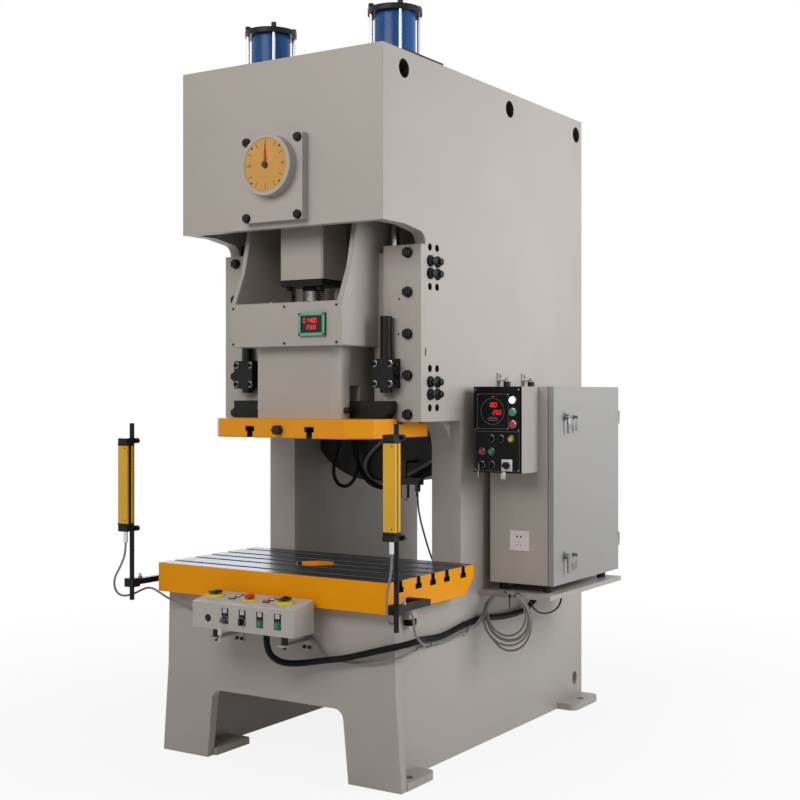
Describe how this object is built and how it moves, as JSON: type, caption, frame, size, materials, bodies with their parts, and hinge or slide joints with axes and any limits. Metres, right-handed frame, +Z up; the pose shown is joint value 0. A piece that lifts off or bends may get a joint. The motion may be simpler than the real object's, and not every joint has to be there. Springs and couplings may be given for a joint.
{
  "type": "mechanical stamping press",
  "caption": "Open-front C-frame crank press with T-slotted bolster, guided slide, air balance cylinders, electrical cabinet, two-hand control and light curtains.",
  "frame": {"origin": "on the floor, in the middle of the four anchor bolts", "axes": "X to the operator's right, Y to the back, Z up"},
  "size_m": [1.5932, 2.062, 3.109],
  "materials": {
    "frame_paint": "warm light grey semi-gloss enamel",
    "slide_paint": "grey enamel, die flange safety yellow",
    "safety_yellow": "safety yellow enamel, machined top",
    "black_steel": "black oxide",
    "machined_steel": "machined",
    "piston_chrome": "hard chrome",
    "gear_steel": "oiled",
    "wheel_iron": "machined rim",
    "motor_paint": "blue grey enamel",
    "cylinder_blue": "blue barrel between black flanges",
    "guard_paint": "dark sheet",
    "belt_rubber": "matt",
    "dial_face": "orange yellow",
    "pointer_red": "red pointer on a black hub",
    "cabinet_paint": "light grey powder coat",
    "handle_zinc": "bright zinc",
    "panel_black": "matt black",
    "button_red": "red",
    "button_green": "green",
    "button_yellow": "yellow",
    "button_white": "milky white",
    "palm_black": "black",
    "key_metal": "nickel",
    "curtain_yellow": "yellow housing",
    "air_black": "black",
    "cable_grey": "grey sheath",
    "conduit_black": "ribbed black",
    "tube_blue": "blue"
  },
  "bodies": {
    "frame": {"anchor_feet": "frame_paint", "balance_cylinders": "cylinder_blue", "base_front_plate": "frame_paint", "bearing_cover": "frame_paint", "bolster": "safety_yellow", "cabinet_mounts": "cabinet_paint", "cable_coil": "cable_grey", "cabinet_cable": "conduit_black", "air_tube": "tube_blue", "conduit": "conduit_black", "cross_plates": "frame_paint", "curtain_cable_left": "cable_grey", "curtain_cable_right": "cable_grey", "curtain_housings": "curtain_yellow", "curtain_posts": "black_steel", "dial_plate": "dial_face", "drive_belts": "belt_rubber", "electrical_cabinet": "cabinet_paint", "filter_regulator": "air_black", "flywheel_guard": "guard_paint", "frame_bolts": "black_steel", "gibs": "frame_paint", "grey_hose": "cable_grey", "head_front_plate": "frame_paint", "knock_out_stops": "black_steel", "left_side_plate": "frame_paint", "loop_hose": "conduit_black", "main_hose": "conduit_black", "motor": "motor_paint", "operator_panel": "panel_black", "right_side_plate": "frame_paint", "two_hand_box": "cabinet_paint"},
    "slide": {"slide": "slide_paint", "slide_cover": "slide_paint", "balance_rods": "piston_chrome"},
    "knock_out_bar": {"knock_out_bar": "black_steel"},
    "crank": {"crankshaft": "machined_steel", "main_gear": "gear_steel", "dial_pointer": "pointer_red"},
    "rod": {"connecting_rod": "slide_paint", "ball_screw": "machined_steel"},
    "pinion": {"pinion_shaft": "machined_steel"},
    "flywheel": {"flywheel": "wheel_iron"},
    "motor_pulley": {"motor_pulley": "wheel_iron"},
    "door": {"cabinet_door": "cabinet_paint"},
    "upper_handle": {"upper_handle": "handle_zinc"},
    "lower_handle": {"lower_handle": "handle_zinc"},
    "panel_yellow_button": {"panel_yellow_button": "button_yellow"},
    "panel_red_button": {"panel_red_button": "button_red"},
    "panel_green_button": {"panel_green_button": "button_green"},
    "left_palm_button": {"left_palm_button": "palm_black"},
    "right_palm_button": {"right_palm_button": "palm_black"},
    "emergency_stop": {"emergency_stop": "button_red"},
    "left_lighted_button": {"left_lighted_button": "button_white"},
    "right_lighted_button": {"right_lighted_button": "button_red"},
    "left_green_button": {"left_green_button": "button_green"},
    "right_green_button": {"right_green_button": "button_green"},
    "key_switch": {"key_switch": "key_metal"},
    "selector_switch": {"selector_switch": "palm_black"},
    "valve_lever": {"valve_lever": "palm_black"}
  },
  "joints": [
    {"name": "slide_stroke", "type": "slide", "parent": "frame", "child": "slide", "axis": [0, 0, 1], "range_m": [-0.18, 0]},
    {"name": "crank_turn", "type": "hinge", "parent": "frame", "child": "crank", "pos_m": [0, -0.637, 2.417], "axis": [0, 1, 0], "range_deg": [0, 180]},
    {"name": "rod_pin", "type": "hinge", "parent": "crank", "child": "rod", "pos_m": [0, -0.637, 2.507], "axis": [0, 1, 0], "range_deg": [-180, 0]},
    {"name": "pinion_turn", "type": "hinge", "parent": "frame", "child": "pinion", "pos_m": [0, -0.19, 1.931], "axis": [0, 1, 0], "range_deg": [-630, 0]},
    {"name": "flywheel_spin", "type": "hinge", "parent": "frame", "child": "flywheel", "pos_m": [0, 0.595, 1.931], "axis": [0, 1, 0], "continuous": true},
    {"name": "motor_spin", "type": "hinge", "parent": "frame", "child": "motor_pulley", "pos_m": [0, 0.595, 1.34], "axis": [0, 1, 0], "continuous": true},
    {"name": "knock_out_lift", "type": "slide", "parent": "slide", "child": "knock_out_bar", "axis": [0, 0, 1], "range_m": [0, 0.03]},
    {"name": "door_swing", "type": "hinge", "parent": "frame", "child": "door", "pos_m": [0.837, 0.598, 1.12], "axis": [0, 0, 1], "range_deg": [0, 110]},
    {"name": "upper_handle_turn", "type": "hinge", "parent": "door", "child": "upper_handle", "pos_m": [0.845, 0.013, 1.41], "axis": [1, 0, 0], "range_deg": [0, 90]},
    {"name": "lower_handle_turn", "type": "hinge", "parent": "door", "child": "lower_handle", "pos_m": [0.845, 0.013, 0.818], "axis": [1, 0, 0], "range_deg": [0, 90]},
    {"name": "panel_yellow_press", "type": "slide", "parent": "frame", "child": "panel_yellow_button", "axis": [0, 1, 0], "range_m": [0, 0.003], "stiffness_N_per_m": 700, "springref_m": -0.003},
    {"name": "panel_red_press", "type": "slide", "parent": "frame", "child": "panel_red_button", "axis": [0, 1, 0], "range_m": [0, 0.003], "stiffness_N_per_m": 700, "springref_m": -0.003},
    {"name": "panel_green_press", "type": "slide", "parent": "frame", "child": "panel_green_button", "axis": [0, 1, 0], "range_m": [0, 0.003], "stiffness_N_per_m": 700, "springref_m": -0.003},
    {"name": "left_green_press", "type": "slide", "parent": "frame", "child": "left_green_button", "axis": [0, 1, 0], "range_m": [0, 0.003], "stiffness_N_per_m": 700, "springref_m": -0.003},
    {"name": "right_green_press", "type": "slide", "parent": "frame", "child": "right_green_button", "axis": [0, 1, 0], "range_m": [0, 0.003], "stiffness_N_per_m": 700, "springref_m": -0.003},
    {"name": "left_lighted_press", "type": "slide", "parent": "frame", "child": "left_lighted_button", "axis": [0, 0, -1], "range_m": [0, 0.003], "stiffness_N_per_m": 700, "springref_m": -0.003},
    {"name": "right_lighted_press", "type": "slide", "parent": "frame", "child": "right_lighted_button", "axis": [0, 0, -1], "range_m": [0, 0.003], "stiffness_N_per_m": 700, "springref_m": -0.003},
    {"name": "left_palm_press", "type": "slide", "parent": "frame", "child": "left_palm_button", "axis": [0, 0, -1], "range_m": [0, 0.006], "stiffness_N_per_m": 1500, "springref_m": -0.005},
    {"name": "right_palm_press", "type": "slide", "parent": "frame", "child": "right_palm_button", "axis": [0, 0, -1], "range_m": [0, 0.006], "stiffness_N_per_m": 1500, "springref_m": -0.005},
    {"name": "emergency_stop_press", "type": "slide", "parent": "frame", "child": "emergency_stop", "axis": [0, 0, -1], "range_m": [0, 0.004], "stiffness_N_per_m": 2500, "springref_m": -0.005},
    {"name": "key_turn", "type": "hinge", "parent": "frame", "child": "key_switch", "pos_m": [-0.08, -1.112, 0.627], "axis": [0, 1, 0], "range_deg": [0, 60]},
    {"name": "selector_turn", "type": "hinge", "parent": "frame", "child": "selector_switch", "pos_m": [0.006, -1.112, 0.627], "axis": [0, 1, 0], "range_deg": [-45, 45]},
    {"name": "valve_lever_turn", "type": "hinge", "parent": "frame", "child": "valve_lever", "pos_m": [0.242, -0.207, 1.118], "axis": [0, 1, 0], "range_deg": [0, 90]}
  ],
  "couplings": [
    {"joint": "crank_turn", "follows": "slide_stroke", "rad_per_m": -17.453},
    {"joint": "rod_pin", "follows": "slide_stroke", "rad_per_m": 17.453},
    {"joint": "pinion_turn", "follows": "slide_stroke", "rad_per_m": 61.087},
    {"joint": "motor_spin", "follows": "flywheel_spin", "ratio": 6.0781}
  ]
}
